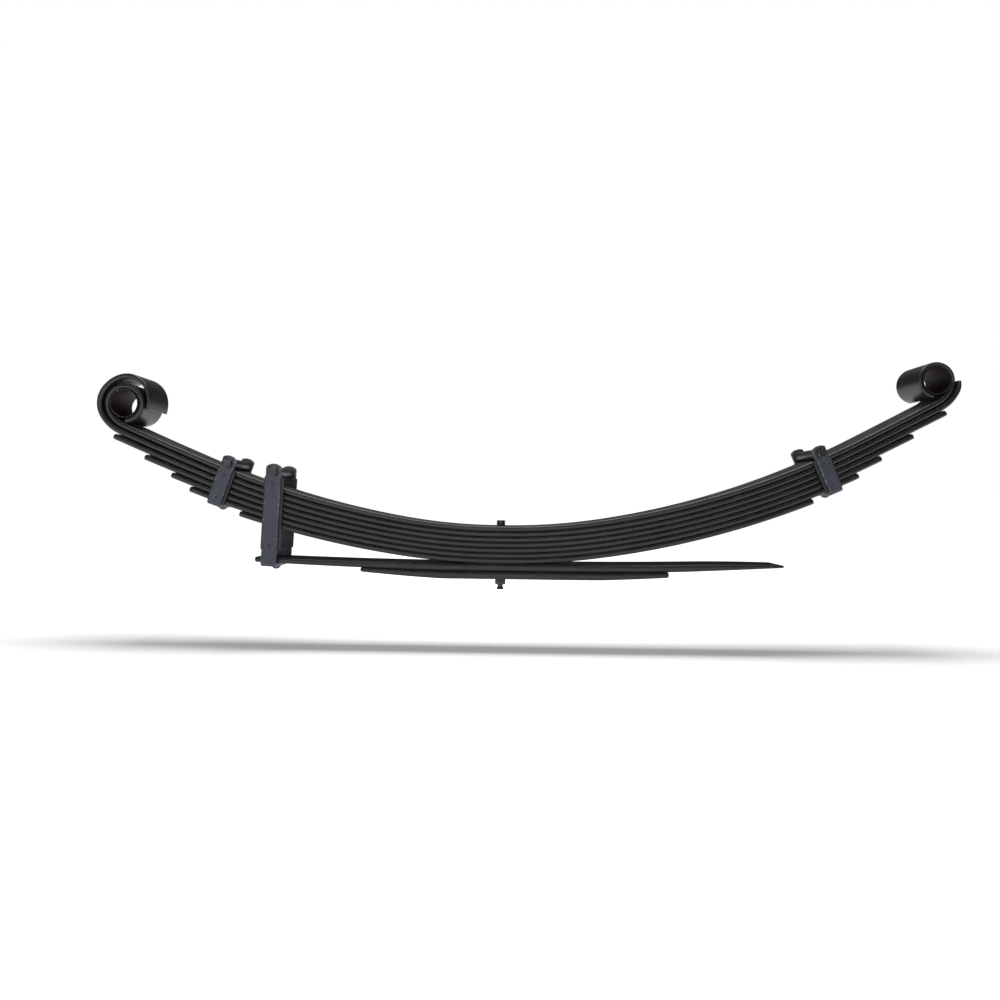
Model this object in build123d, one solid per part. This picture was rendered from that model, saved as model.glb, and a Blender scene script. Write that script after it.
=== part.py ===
from build123d import *
import os
from math import asin, atan2, cos, degrees, hypot, radians, sin, sqrt

# Multi-leaf spring with two overload leaves. Millimetres, +Z up.
# Origin: axis of the centre bolt on the top face of the main leaf, at mid width.
# +X runs along the long rear arm, -X along the short front arm.
# The bolt heads of the clips face -Y.

# Main pack
LEAF_WIDTH = 60.0
LEAF_THICKNESS = 8.0
LEAF_COUNT = 7
EDGE_RADIUS = 2.4
WRAP_LEAF_EDGE_RADIUS = 1.3
TIP_CORNER_RADIUS = 5.0
SEAT_HALF_LENGTH = 8.0

# Undersides of the arms, from the seat outward: each arc's radius on the main leaf with its
# growth per leaf, and the distances from the centre bolt at which one arc passes to the next
FRONT_ARCS = ((879.0, 23.0), (1382.0, 16.5), (4300.0, 9.0))
REAR_ARCS = ((927.0, 14.5), (1280.0, 11.5), (20000.0, 9.0))
FRONT_BREAKS = (150.0, 450.0)
REAR_BREAKS = (150.0, 550.0)

# Distance of each graduated leaf's tips from the centre bolt
FRONT_TIPS = {3: 586.5, 4: 539.5, 5: 499.0, 6: 471.0, 7: 395.5}
REAR_TIPS = {3: 670.0, 4: 621.0, 5: 573.5, 6: 539.5, 7: 471.5}

# Eyes of the main leaf and the two wraps of the second leaf
FRONT_EYE = (568.7, 177.3)
REAR_EYE = (651.6, 228.7)
EYE_RADIUS = 22.0
EYE_ROOT_RADIUS = 40.0
FRONT_ROLL_RADIUS = 30.0
REAR_ROLL_RADIUS = 27.5
FRONT_ROLL_END = 332.0
REAR_ROLL_END = 323.0
FRONT_WRAP_INNER = 33.7
FRONT_WRAP_OUTER = 41.7
FRONT_WRAP_TAPER_FROM = 180.0
FRONT_WRAP_END = 285.0
FRONT_WRAP_TIP = 3.0
REAR_WRAP_INNER = 31.5
REAR_WRAP_OUTER = 39.5
REAR_WRAP_TAPER_FROM = 50.0
REAR_WRAP_END = 90.0
REAR_WRAP_TIP = 5.5
WRAP_ROOT_RADIUS = 52.0

# Eye sleeves
SLEEVE_OUTER_RADIUS = 21.7
SLEEVE_BORE_RADIUS = 20.0
SLEEVE_LENGTH = 60.0
SLEEVE_CHAMFER = 0.5

# Overload leaves
HELPER_TOP = -LEAF_COUNT * LEAF_THICKNESS
HELPER_THICKNESS = 12.0
HELPER_CAMBER_RADIUS = 9630.0
HELPER_SEAT = 60.0
LONG_HELPER_FRONT = 370.0
LONG_HELPER_REAR = 427.0
SHORT_HELPER_FRONT = 211.0
SHORT_HELPER_REAR = 254.0
HELPER_TIP_RADIUS = 1.2
HELPER_GAP_RATE = 0.002

# Tapers of the overload leaves: where each starts, thickness lost at the tip, exponent
LONG_FRONT_TAPER = (90.0, 4.5, 1.0)
LONG_REAR_TAPER = (240.0, 8.56, 1.9)
SHORT_FRONT_TAPER = (85.0, 6.2, 1.3)
SHORT_REAR_TAPER = (150.0, 4.2, 1.2)
LONG_REAR_DROOP = (290.0, 4.2, 2.0)

# Centre bolt
CENTRE_SHANK_RADIUS = 5.0
CENTRE_HOLE_RADIUS = 5.3
CENTRE_HEAD_RADIUS = 6.5
CENTRE_HEAD_HEIGHT = 8.3
CENTRE_HEAD_CHAMFER = 1.2
CENTRE_NUT_FLATS = 16.0
CENTRE_NUT_HEIGHT = 10.0
CENTRE_NECK_RADIUS = 4.0
CENTRE_NECK_DEPTHS = (0.6, 1.8)
CENTRE_FLARE_RADIUS = 5.7
CENTRE_FLARE_HEIGHTS = (1.4, 4.2)
CENTRE_FLARE_CHAMFER = 0.5
CENTRE_END_LENGTH = 8.0

# Hexagons: radius of the round face as a share of the flats, and slope of the corner cone
CROWN_FACE = 0.48
CROWN_SLOPE = 0.75
CROWN_CLEAR = 0.2

# Clips
STRAP_THICKNESS = 5.0
STRAP_INSIDE = 67.0
STRAP_BEND_RADIUS = 4.5
CLIP_STRAP_WIDTH = 20.0
HELPER_STRAP_WIDTH = 22.5
LINER_THICKNESS = 2.5
LINER_OVERHANG = 3.3
LINER_CORNER_RADIUS = 1.5
LINER_BELOW_SPACER = 1.0
PACK_LINER_LOW = 1.2
HELPER_LINER_LOW = 20.0
LINER_STUD_RADIUS = 2.0
LINER_STUD_ROOT = 0.5
LINER_STUD_REACH = 4.6
LINER_STUD_GAP = 0.1
STUD_FROM_LOW = 7.0
STUD_FROM_HIGH = 9.0
EAR_RADIUS = 12.0
CLIP_GAP = 0.3
CLIP_SHANK_RADIUS = 4.0
CLIP_HOLE_RADIUS = 4.3
CLIP_HEAD_FLATS = 13.0
CLIP_HEAD_HEIGHT = 5.3
CLIP_NUT_HEIGHT = 6.5
CLIP_BOLT_PROUD = 3.0
CLIP_BOLT_CHAMFER = 0.8
WASHER_HOLE_GAP = 0.2
SPACER_HOLE_GAP = 0.3
WASHER_RADIUS = 8.5
WASHER_THICKNESS = 1.6
SPACER_RADIUS = 6.5
SPACER_TO_LEAF = 1.0
RIVET_RADIUS = 4.0
RIVET_HOLE_RADIUS = 4.3
RIVET_HEAD_RADIUS = 7.0
RIVET_HEAD_HEIGHT = 5.5
RIVET_END_GAP = 0.2
FRONT_CLIP_AT = 428.0
REAR_CLIP_AT = 498.0
HELPER_CLIP_AT = 346.0
HELPER_CLIP_GAP = 0.1
HELPER_CLIP_BOLT_HEIGHT = 137.0

# How far a cutting shape runs past the material
CUT_MARGIN = 1.0


def polar(centre, radius, angle):
    """Point of a smile-shaped arc: angle 0 is its lowest point, 90 degrees its outboard side."""
    return (centre[0] + radius * sin(angle), centre[1] - radius * cos(angle))


def arm_arcs(leaf, front):
    """Underside of one arm as tangent arcs: [(centre, radius, start angle), ...]."""
    radii = [first + (leaf - 1) * growth for first, growth in (FRONT_ARCS if front else REAR_ARCS)]
    breaks = FRONT_BREAKS if front else REAR_BREAKS
    joint = (SEAT_HALF_LENGTH, -leaf * LEAF_THICKNESS)
    angle = 0.0
    arcs = []
    for index, radius in enumerate(radii):
        centre = (joint[0] - radius * sin(angle), joint[1] + radius * cos(angle))
        arcs.append((centre, radius, angle))
        if index < len(breaks):
            angle = asin((breaks[index] - centre[0]) / radius)
            joint = polar(centre, radius, angle)
    return arcs


def station(arcs, x):
    """Arc, and slope angle on it, of the underside at distance x from the centre bolt."""
    for centre, radius, start in reversed(arcs):
        angle = asin((x - centre[0]) / radius)
        if angle >= start:
            return centre, radius, angle
    return arcs[0][0], arcs[0][1], 0.0


def to_3d(point, front):
    """Place a point of the arm plane in space; the front arm is the mirrored one."""
    return (-point[0] if front else point[0], 0.0, point[1])


def arc_edge(centre, radius, start, end, front):
    """Arc between two slope angles."""
    points = [polar(centre, radius, a) for a in (start, (start + end) / 2, end)]
    return ThreePointArc(*[to_3d(p, front) for p in points])


def line_edge(a, b, front):
    """Straight edge in the arm plane."""
    return Line(to_3d(a, front), to_3d(b, front))


def spiral_edge(centre, radii, start, end, front):
    """Smooth edge around a centre whose radius changes evenly between two angles."""
    count = 9
    points = []
    for i in range(count):
        f = i / (count - 1)
        ease = f * f * (3 - 2 * f)
        radius = radii[0] + (radii[1] - radii[0]) * ease
        points.append(to_3d(polar(centre, radius, start + (end - start) * f), front))
    side = -1 if front else 1
    tangents = [(side * cos(a), 0.0, sin(a)) for a in (start, end)]
    return Spline(*points, tangents=tangents)


def curl(line_centre, line_radius, eye, eye_radius, root_radius):
    """Arc that leaves the leaf line and runs tangent into a circle about the eye centre."""
    reach = line_radius - root_radius
    offset = root_radius - eye_radius
    dx = eye[0] - line_centre[0]
    dz = eye[1] - line_centre[1]
    span = hypot(dx, dz)
    along = (reach ** 2 - offset ** 2 + span ** 2) / (2 * span)
    across = sqrt(max(0.0, reach ** 2 - along ** 2))
    ux = dx / span
    uz = dz / span
    centre = (line_centre[0] + along * ux + across * uz, line_centre[1] + along * uz - across * ux)
    start = atan2(centre[0] - line_centre[0], line_centre[1] - centre[1])
    end = atan2(eye[0] - centre[0], centre[1] - eye[1])
    if end < start:
        centre = (line_centre[0] + along * ux - across * uz, line_centre[1] + along * uz + across * ux)
        start = atan2(centre[0] - line_centre[0], line_centre[1] - centre[1])
        end = atan2(eye[0] - centre[0], centre[1] - eye[1])
    return centre, start, end


def line_to(arcs, lift, end, front):
    """Edges of one leaf face from the seat outward; lift is the distance above the underside."""
    edges = []
    stops = [arc[2] for arc in arcs[1:]] + [end]
    for (centre, radius, start), stop in zip(arcs, stops):
        if start < end:
            edges.append(arc_edge(centre, radius - lift, start, min(stop, end), front))
    return edges


def plain_end(leaf, front):
    """Arm of a graduated leaf, cut square at its tip."""
    arcs = arm_arcs(leaf, front)
    tip = (FRONT_TIPS if front else REAR_TIPS)[leaf]
    centre, radius, end = station(arcs, tip)
    edges = line_to(arcs, 0.0, end, front)
    edges += line_to(arcs, LEAF_THICKNESS, end, front)
    bottom = polar(centre, radius, end)
    top = polar(centre, radius - LEAF_THICKNESS, end)
    return edges + [line_edge(bottom, top, front)]


def eye_end(front):
    """Arm of the main leaf, rolled upward into an eye."""
    arcs = arm_arcs(1, front)
    centre, radius, _ = arcs[-1]
    eye = FRONT_EYE if front else REAR_EYE
    roll = FRONT_ROLL_RADIUS if front else REAR_ROLL_RADIUS
    outer = curl(centre, radius, eye, roll, EYE_ROOT_RADIUS + LEAF_THICKNESS)
    inner = curl(centre, radius - LEAF_THICKNESS, eye, EYE_RADIUS, EYE_ROOT_RADIUS)
    stop = inner[1] + radians(FRONT_ROLL_END if front else REAR_ROLL_END)
    edges = line_to(arcs, 0.0, outer[1], front)
    edges.append(arc_edge(outer[0], EYE_ROOT_RADIUS + LEAF_THICKNESS, outer[1], outer[2], front))
    edges.append(arc_edge(eye, roll, outer[2], stop, front))
    edges.append(line_edge(polar(eye, roll, stop), polar(eye, EYE_RADIUS, stop), front))
    edges.append(arc_edge(eye, EYE_RADIUS, inner[2], stop, front))
    edges.append(arc_edge(inner[0], EYE_ROOT_RADIUS, inner[1], inner[2], front))
    return edges + line_to(arcs, LEAF_THICKNESS, inner[1], front)


def wrap_end(front):
    """Arm of the second leaf, curled with clearance around the eye and drawn thin at its tip."""
    arcs = arm_arcs(2, front)
    centre, radius, _ = arcs[-1]
    eye = FRONT_EYE if front else REAR_EYE
    inside = FRONT_WRAP_INNER if front else REAR_WRAP_INNER
    outside = FRONT_WRAP_OUTER if front else REAR_WRAP_OUTER
    thin_from = radians(FRONT_WRAP_TAPER_FROM if front else REAR_WRAP_TAPER_FROM)
    stop = radians(FRONT_WRAP_END if front else REAR_WRAP_END)
    tip = FRONT_WRAP_TIP if front else REAR_WRAP_TIP
    outer = curl(centre, radius, eye, outside, WRAP_ROOT_RADIUS + LEAF_THICKNESS)
    inner = curl(centre, radius - LEAF_THICKNESS, eye, inside, WRAP_ROOT_RADIUS)
    edges = line_to(arcs, 0.0, outer[1], front)
    edges.append(arc_edge(outer[0], WRAP_ROOT_RADIUS + LEAF_THICKNESS, outer[1], outer[2], front))
    if thin_from > outer[2]:
        edges.append(arc_edge(eye, outside, outer[2], thin_from, front))
    thin_start = max(thin_from, outer[2])
    edges.append(spiral_edge(eye, (outside, inside + tip), thin_start, stop, front))
    edges.append(line_edge(polar(eye, inside + tip, stop), polar(eye, inside, stop), front))
    edges.append(arc_edge(eye, inside, inner[2], stop, front))
    edges.append(arc_edge(inner[0], WRAP_ROOT_RADIUS, inner[1], inner[2], front))
    return edges + line_to(arcs, LEAF_THICKNESS, inner[1], front)


def arm_edges(leaf, front):
    """Outline edges of one arm of a main-pack leaf."""
    if leaf == 1:
        return eye_end(front)
    if leaf == 2:
        return wrap_end(front)
    return plain_end(leaf, front)


def soften(body, radius):
    """Round the long edges of a leaf."""
    edges = [e for e in body.edges() if not on_cross_section(e)]
    return fillet(edges, radius)


def on_cross_section(edge):
    """True for an edge that runs across the leaf or through its thickness."""
    if edge.geom_type != GeomType.LINE:
        return False
    direction = edge % 0.5
    if abs(direction.Y) > 0.5:
        return True
    return edge.length < LEAF_THICKNESS * 1.6


def centre_hole(bottom, top):
    """Cutter for the centre bolt hole of a leaf."""
    return Pos(0, 0, (bottom + top) / 2) * Cylinder(CENTRE_HOLE_RADIUS, top - bottom + 2 * CUT_MARGIN)


def main_pack_leaf(leaf):
    """One leaf of the main pack, counted from the top."""
    top = -(leaf - 1) * LEAF_THICKNESS
    bottom = -leaf * LEAF_THICKNESS
    edges = arm_edges(leaf, True) + arm_edges(leaf, False)
    for z in (top, bottom):
        edges.append(Line((-SEAT_HALF_LENGTH, 0, z), (SEAT_HALF_LENGTH, 0, z)))
    face = make_face(edges)
    body = Pos(0, -LEAF_WIDTH / 2, 0) * extrude(face, amount=LEAF_WIDTH, dir=(0, 1, 0))
    if leaf > 2:
        body = round_tips(body)
    body = soften(body, WRAP_LEAF_EDGE_RADIUS if leaf == 2 else EDGE_RADIUS)
    return body - centre_hole(bottom, top)


def round_tips(body):
    """Round the four plan-view corners of a leaf with plain ends."""
    corners = []
    for edge in body.edges():
        direction = edge % 0.5
        if edge.geom_type == GeomType.LINE and abs(direction.Y) < 0.1 and abs(direction.Z) > 0.8:
            corners.append(edge)
    return fillet(corners, TIP_CORNER_RADIUS)


def eased(x, tip, taper):
    """Value that grows from 0 where a taper starts to its full amount at the tip."""
    start, amount, exponent = taper
    return amount * max(0.0, (x - start) / (tip - start)) ** exponent


def helper_thickness(x):
    """Thickness of the long overload leaf along its length."""
    if x < 0:
        return HELPER_THICKNESS - eased(-x, LONG_HELPER_FRONT, LONG_FRONT_TAPER)
    return HELPER_THICKNESS - eased(x, LONG_HELPER_REAR, LONG_REAR_TAPER)


def past_seat(x):
    """Distance of x beyond the flat seat of the overload leaves."""
    return max(0.0, abs(x) - HELPER_SEAT)


def helper_top(x):
    """Top face of the long overload leaf: slight camber that fades at the rear tip."""
    rise = past_seat(x) ** 2 / (2 * HELPER_CAMBER_RADIUS)
    return HELPER_TOP + rise - eased(x, LONG_HELPER_REAR, LONG_REAR_DROOP)


def helper_bottom(x):
    """Underside of the long overload leaf."""
    return helper_top(x) - helper_thickness(x)


def short_top(x):
    """Top face of the short overload leaf, lying along the long one."""
    return helper_bottom(x) - HELPER_GAP_RATE * past_seat(x)


def short_thickness(x):
    """Thickness of the short overload leaf along its length."""
    if x < 0:
        return HELPER_THICKNESS - eased(-x, SHORT_HELPER_FRONT, SHORT_FRONT_TAPER)
    return HELPER_THICKNESS - eased(x, SHORT_HELPER_REAR, SHORT_REAR_TAPER)


def short_bottom(x):
    """Underside of the short overload leaf."""
    return short_top(x) - short_thickness(x)


def swept_line(height, start, end):
    """Smooth face line of an overload leaf from the end of its seat to its tip."""
    count = 10
    xs = [start + (end - start) * i / (count - 1) for i in range(count)]
    points = [(x, 0, height(x)) for x in xs]
    return Spline(*points, tangents=[(end - start, 0, 0), line_end_tangent(height, start, end)])


def line_end_tangent(height, start, end):
    """Direction of a face line at its tip."""
    step = (end - start) * 0.01
    return (step, 0, height(end) - height(end - step))


def helper_leaf(top, bottom, front, rear):
    """Overload leaf with a flat seat and two tapered arms."""
    edges = []
    for height in (top, bottom):
        edges.append(swept_line(height, -HELPER_SEAT, -front))
        edges.append(Line((-HELPER_SEAT, 0, height(0)), (HELPER_SEAT, 0, height(0))))
        edges.append(swept_line(height, HELPER_SEAT, rear))
    edges.append(Line((-front, 0, bottom(-front)), (-front, 0, top(-front))))
    edges.append(Line((rear, 0, bottom(rear)), (rear, 0, top(rear))))
    body = Pos(0, -LEAF_WIDTH / 2, 0) * extrude(make_face(edges), amount=LEAF_WIDTH, dir=(0, 1, 0))
    body = round_tips(body)
    ends = [e for e in body.edges() if e.geom_type == GeomType.LINE and abs((e % 0.5).Y) > 0.9]
    return fillet(ends, HELPER_TIP_RADIUS) - centre_hole(bottom(0), top(0))


def hexagon(flats, height):
    """Hexagonal prism standing on z = 0."""
    return extrude(RegularPolygon(flats / 2, 6, major_radius=False), amount=height)


def hex_with_crown(flats, height, both):
    """Hexagonal head or nut with its corners turned to a cone, on its outer face or on both."""
    face = flats * CROWN_FACE
    wide = flats / sqrt(3) + CROWN_CLEAR
    drop = (wide - flats / 2) * CROWN_SLOPE
    profile = [(0, 0), (face, 0), (wide, drop)] if both else [(0, 0), (wide, 0)]
    profile += [(wide, height - drop), (face, height), (0, height)]
    return hexagon(flats, height) & turned(profile)


def turned(profile):
    """Solid of revolution about Z from (radius, z) pairs."""
    points = [(r, 0, z) for r, z in profile]
    return revolve(make_face(Polyline(*points, close=True)), axis=Axis.Z)


def centre_bolt():
    """Round-headed centre bolt with a flared end below the nut."""
    low = short_bottom(0) - CENTRE_NUT_HEIGHT
    end = low - CENTRE_END_LENGTH
    head = CENTRE_HEAD_HEIGHT
    return turned([
        (0, head),
        (CENTRE_HEAD_RADIUS - CENTRE_HEAD_CHAMFER, head),
        (CENTRE_HEAD_RADIUS, head - CENTRE_HEAD_CHAMFER),
        (CENTRE_HEAD_RADIUS, 0),
        (CENTRE_SHANK_RADIUS, 0),
        (CENTRE_SHANK_RADIUS, low - CENTRE_NECK_DEPTHS[0]),
        (CENTRE_NECK_RADIUS, low - CENTRE_NECK_DEPTHS[1]),
        (CENTRE_NECK_RADIUS, end + CENTRE_FLARE_HEIGHTS[1]),
        (CENTRE_FLARE_RADIUS, end + CENTRE_FLARE_HEIGHTS[0]),
        (CENTRE_FLARE_RADIUS - CENTRE_FLARE_CHAMFER, end),
        (0, end),
    ])


def centre_nut():
    """Nut of the centre bolt, screwed up against the short overload leaf."""
    nut = hex_with_crown(CENTRE_NUT_FLATS, CENTRE_NUT_HEIGHT, True)
    nut = nut - Cylinder(CENTRE_SHANK_RADIUS, 3 * CENTRE_NUT_HEIGHT)
    return Pos(0, 0, short_bottom(0) - CENTRE_NUT_HEIGHT) * nut


def eye_sleeve(eye, front):
    """Thin steel sleeve lining an eye."""
    ring = Cylinder(SLEEVE_OUTER_RADIUS, SLEEVE_LENGTH)
    ring = ring - Cylinder(SLEEVE_BORE_RADIUS, SLEEVE_LENGTH + 2 * CUT_MARGIN)
    rims = [e for e in ring.edges() if e.geom_type == GeomType.CIRCLE]
    ring = chamfer(rims, SLEEVE_CHAMFER)
    return Pos(*to_3d(eye, front)) * Rot(90, 0, 0) * ring


def strap(width, bolt_height):
    """U-shaped clip strap with an ear at the end of each leg; its floor's inner face is z = 0."""
    half = STRAP_INSIDE / 2
    outer = half + STRAP_THICKNESS
    top = bolt_height + EAR_RADIUS
    depth = top + STRAP_THICKNESS
    block = Pos(0, 0, top - depth / 2) * Box(width, 2 * outer, depth)
    room = Pos(0, 0, depth / 2) * Box(width + 2 * CUT_MARGIN, 2 * half, depth)
    shape = block - room
    bends = [e for e in shape.edges() if is_floor_corner(e, outer)]
    shape = fillet(bends, STRAP_BEND_RADIUS)
    ear = Pos(0, 0, bolt_height) * Rot(90, 0, 0) * Cylinder(EAR_RADIUS, 4 * outer)
    legs = Pos(0, 0, bolt_height - depth) * Box(width + 2 * CUT_MARGIN, 4 * outer, 2 * depth)
    shape = shape & (ear + legs)
    shape = shape - Pos(0, 0, bolt_height) * Rot(90, 0, 0) * Cylinder(CLIP_HOLE_RADIUS, 4 * outer)
    return shape - Cylinder(RIVET_HOLE_RADIUS, 4 * STRAP_THICKNESS)


def is_floor_corner(edge, outer):
    """True for the two outside bend lines of the strap."""
    middle = edge @ 0.5
    if abs((edge % 0.5).X) < 0.9:
        return False
    return abs(abs(middle.Y) - outer) < 0.01 and middle.Z < 0


def liner(width, low, high, near):
    """Flat liner plate held inside one leg by two studs."""
    side = -1 if near else 1
    inside = STRAP_INSIDE / 2
    plate = Box(width + 2 * LINER_OVERHANG, LINER_THICKNESS, high - low)
    plate = fillet([e for e in plate.edges() if abs((e % 0.5).Y) > 0.9], LINER_CORNER_RADIUS)
    plate = Pos(0, side * (inside - LINER_THICKNESS / 2), (low + high) / 2) * plate
    stud = Rot(90, 0, 0) * Cylinder(LINER_STUD_RADIUS, LINER_STUD_REACH + LINER_STUD_ROOT)
    middle = inside + (LINER_STUD_REACH - LINER_STUD_ROOT) / 2
    for z in stud_heights(low, high):
        plate = plate + Pos(0, side * middle, z) * stud
    return plate


def stud_heights(low, high):
    """Heights of the two liner studs."""
    return (low + STUD_FROM_LOW, high - STUD_FROM_HIGH)


def stud_holes(low, high):
    """Cutters for the liner studs in both legs of a strap."""
    cutter = Rot(90, 0, 0) * Cylinder(LINER_STUD_RADIUS + LINER_STUD_GAP, 2 * STRAP_INSIDE)
    lower, upper = stud_heights(low, high)
    return Pos(0, 0, lower) * cutter + Pos(0, 0, upper) * cutter


def clip_bolt():
    """Hexagon bolt across the clip: head on the near side, thread end beyond the nut."""
    face = STRAP_INSIDE / 2 + STRAP_THICKNESS
    start = -face - WASHER_THICKNESS
    end = face + CLIP_NUT_HEIGHT + CLIP_BOLT_PROUD
    head = Rot(90, 0, 0) * hex_with_crown(CLIP_HEAD_FLATS, CLIP_HEAD_HEIGHT, False)
    shank = Pos(0, (start + end) / 2, 0) * Rot(90, 0, 0) * Cylinder(CLIP_SHANK_RADIUS, end - start)
    tip = shank.edges().filter_by(GeomType.CIRCLE).sort_by(Axis.Y)[-1]
    return Pos(0, start, 0) * head + chamfer(tip, CLIP_BOLT_CHAMFER)


def clip_washer():
    """Plain washer between bolt head and ear."""
    hole = Cylinder(CLIP_SHANK_RADIUS + WASHER_HOLE_GAP, WASHER_THICKNESS + 2 * CUT_MARGIN)
    ring = Cylinder(WASHER_RADIUS, WASHER_THICKNESS) - hole
    face = STRAP_INSIDE / 2 + STRAP_THICKNESS
    return Pos(0, -face - WASHER_THICKNESS / 2, 0) * Rot(90, 0, 0) * ring


def clip_nut():
    """Nut on the far ear."""
    nut = hex_with_crown(CLIP_HEAD_FLATS, CLIP_NUT_HEIGHT, False)
    nut = nut - Cylinder(CLIP_SHANK_RADIUS, 3 * CLIP_NUT_HEIGHT)
    face = STRAP_INSIDE / 2 + STRAP_THICKNESS
    return Pos(0, face, 0) * Rot(-90, 0, 0) * nut


def clip_spacer():
    """Tube that keeps the two ears apart above the main leaf."""
    hole = Cylinder(CLIP_SHANK_RADIUS + SPACER_HOLE_GAP, STRAP_INSIDE + 2 * CUT_MARGIN)
    return Rot(90, 0, 0) * (Cylinder(SPACER_RADIUS, STRAP_INSIDE) - hole)


def rivet(grip):
    """Rivet holding the strap floor to a leaf: round head below, flush end above."""
    low = -STRAP_THICKNESS
    inside_head = low - RIVET_HEAD_HEIGHT / 2
    profile = [(0, inside_head), (RIVET_RADIUS, inside_head), (RIVET_RADIUS, grip), (0, grip)]
    radius = (RIVET_HEAD_RADIUS ** 2 + RIVET_HEAD_HEIGHT ** 2) / (2 * RIVET_HEAD_HEIGHT)
    dome = Pos(0, 0, low - RIVET_HEAD_HEIGHT + radius) * Sphere(radius)
    slab = Pos(0, 0, inside_head) * Box(4 * RIVET_HEAD_RADIUS, 4 * RIVET_HEAD_RADIUS, RIVET_HEAD_HEIGHT)
    return (dome & slab) + turned(profile)


def pack_height(foot, angle, front):
    """Distance from a leaf's underside up its normal to the top face of the main leaf."""
    centre, radius, _ = arm_arcs(1, front)[1]
    radius -= LEAF_THICKNESS
    nx = -sin(angle)
    nz = cos(angle)
    fx = foot[0] - centre[0]
    fz = foot[1] - centre[1]
    b = fx * nx + fz * nz
    c = fx * fx + fz * fz - radius * radius
    return -b - sqrt(b * b - c)


def clip_parts(name, width, bolt_height, liner_low, grip):
    """All the pieces of one clip in its own frame."""
    high = bolt_height - SPACER_RADIUS - LINER_BELOW_SPACER
    at_bolt = Pos(0, 0, bolt_height)
    return {
        name + "_strap": strap(width, bolt_height) - stud_holes(liner_low, high),
        name + "_liner_near": liner(width, liner_low, high, True),
        name + "_liner_far": liner(width, liner_low, high, False),
        name + "_bolt": at_bolt * clip_bolt(),
        name + "_washer": at_bolt * clip_washer(),
        name + "_spacer": at_bolt * clip_spacer(),
        name + "_nut": at_bolt * clip_nut(),
        name + "_rivet": rivet(grip),
    }


def clip_frame(point, angle, front):
    """Placement of a clip whose floor lies under a leaf at a point with a given slope."""
    lean = degrees(angle) if front else -degrees(angle)
    return Pos(*to_3d(point, front)) * Rot(0, lean, 0)


def pack_clip(name, front):
    """Clip riveted under the sixth leaf of one arm."""
    at = FRONT_CLIP_AT if front else REAR_CLIP_AT
    centre, radius, angle = station(arm_arcs(6, front), at)
    foot = polar(centre, radius + CLIP_GAP, angle)
    height = pack_height(foot, angle, front) + SPACER_TO_LEAF + SPACER_RADIUS
    frame = clip_frame(foot, angle, front)
    grip = CLIP_GAP + LEAF_THICKNESS - RIVET_END_GAP
    pieces = clip_parts(name, CLIP_STRAP_WIDTH, height, PACK_LINER_LOW, grip)
    return frame, {key: frame * body for key, body in pieces.items()}


def helper_clip():
    """Tall clip riveted under the front end of the long overload leaf."""
    x = -HELPER_CLIP_AT
    half = HELPER_STRAP_WIDTH / 2
    angle = atan2(helper_bottom(x - half) - helper_bottom(x + half), HELPER_STRAP_WIDTH)
    foot = (HELPER_CLIP_AT, helper_bottom(x) - HELPER_CLIP_GAP)
    frame = clip_frame(foot, angle, True)
    grip = HELPER_CLIP_GAP + helper_thickness(x) - RIVET_END_GAP
    height = HELPER_CLIP_BOLT_HEIGHT
    pieces = clip_parts("helper_clip", HELPER_STRAP_WIDTH, height, HELPER_LINER_LOW, grip)
    return frame, {key: frame * body for key, body in pieces.items()}


def rivet_hole(frame, thickness):
    """Cutter along a clip's own upright axis, through the leaf above its floor."""
    return frame * (Pos(0, 0, thickness / 2) * Cylinder(RIVET_HOLE_RADIUS, 2 * thickness))


def build():
    """All the pieces by name."""
    names = ["main", "second", "third", "fourth", "fifth", "sixth", "seventh"]
    parts = {}
    for index, name in enumerate(names):
        parts[name + "_leaf"] = main_pack_leaf(index + 1)
    parts["helper_leaf_long"] = helper_leaf(helper_top, helper_bottom, LONG_HELPER_FRONT, LONG_HELPER_REAR)
    parts["helper_leaf_short"] = helper_leaf(short_top, short_bottom, SHORT_HELPER_FRONT, SHORT_HELPER_REAR)
    parts["front_eye_sleeve"] = eye_sleeve(FRONT_EYE, True)
    parts["rear_eye_sleeve"] = eye_sleeve(REAR_EYE, False)
    parts["centre_bolt"] = centre_bolt()
    parts["centre_nut"] = centre_nut()
    for name, front in (("front_clip", True), ("rear_clip", False)):
        frame, pieces = pack_clip(name, front)
        parts.update(pieces)
        parts["sixth_leaf"] = parts["sixth_leaf"] - rivet_hole(frame, LEAF_THICKNESS)
    frame, pieces = helper_clip()
    parts.update(pieces)
    parts["helper_leaf_long"] = parts["helper_leaf_long"] - rivet_hole(frame, HELPER_THICKNESS)
    return parts


def one_solid(body):
    """The single solid of a piece."""
    solids = body.solids()
    if len(solids) != 1:
        raise ValueError("expected one solid, found %d" % len(solids))
    return solids[0]


for part_name, part_body in build().items():
    solid = one_solid(part_body)
    solid.label = part_name
    export_step(solid, os.path.join("parts", part_name + ".step"))
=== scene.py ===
from math import asin, atan2, ceil, cos, hypot, pi, radians, sin, sqrt

import bmesh
import bpy
from mathutils import Matrix, Vector
from mathutils.geometry import tessellate_polygon


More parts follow.
